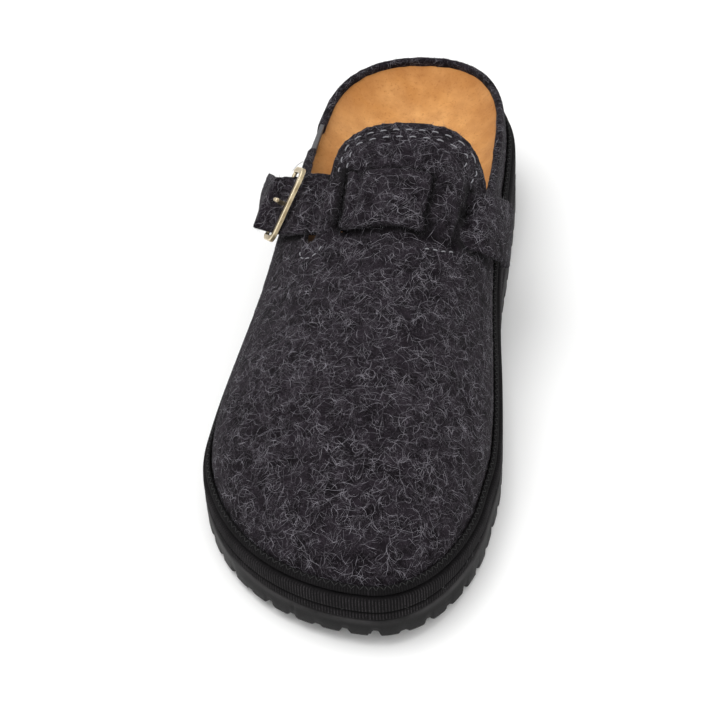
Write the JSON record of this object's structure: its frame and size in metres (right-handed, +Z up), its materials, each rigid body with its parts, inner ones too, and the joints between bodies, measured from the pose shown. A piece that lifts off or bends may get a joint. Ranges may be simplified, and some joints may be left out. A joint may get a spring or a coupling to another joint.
{
  "type": "felt slide slipper",
  "caption": "Closed-toe, open-back slipper of charcoal wool felt on a wrapped platform sole, with a tan footbed and a buckled strap woven through the instep.",
  "frame": {"origin": "middle of the shoe's box, on the floor", "axes": "-Y towards the toe, +Y towards the heel, +X towards the inner (medial) side, +Z up"},
  "size_m": [0.11, 0.285, 0.0908],
  "materials": {
    "outsole_rubber": "moulded black rubber, satin",
    "platform_tape": "black ribbed woven tape, matt",
    "binding_tape": "narrow black ribbed tape, matt",
    "suede": "tan suede, napped",
    "felt": "charcoal wool felt with pale fibres",
    "elastic": "grey ribbed elastic, matt",
    "strap_felt": "charcoal wool felt with pale fibres",
    "buckle_metal": "antique plated, worn bright at the edge",
    "prong_metal": "antique plated wire",
    "tab_felt": "thin charcoal felt"
  },
  "bodies": {
    "root": {"outsole": "outsole_rubber", "midsole": "platform_tape", "binding": "binding_tape", "footbed": "suede", "upper": "felt", "elastic_gore": "elastic", "strap": "strap_felt", "buckle_frame": "buckle_metal", "buckle_prong": "prong_metal", "buckle_tab": "tab_felt"}
  },
  "joints": []
}
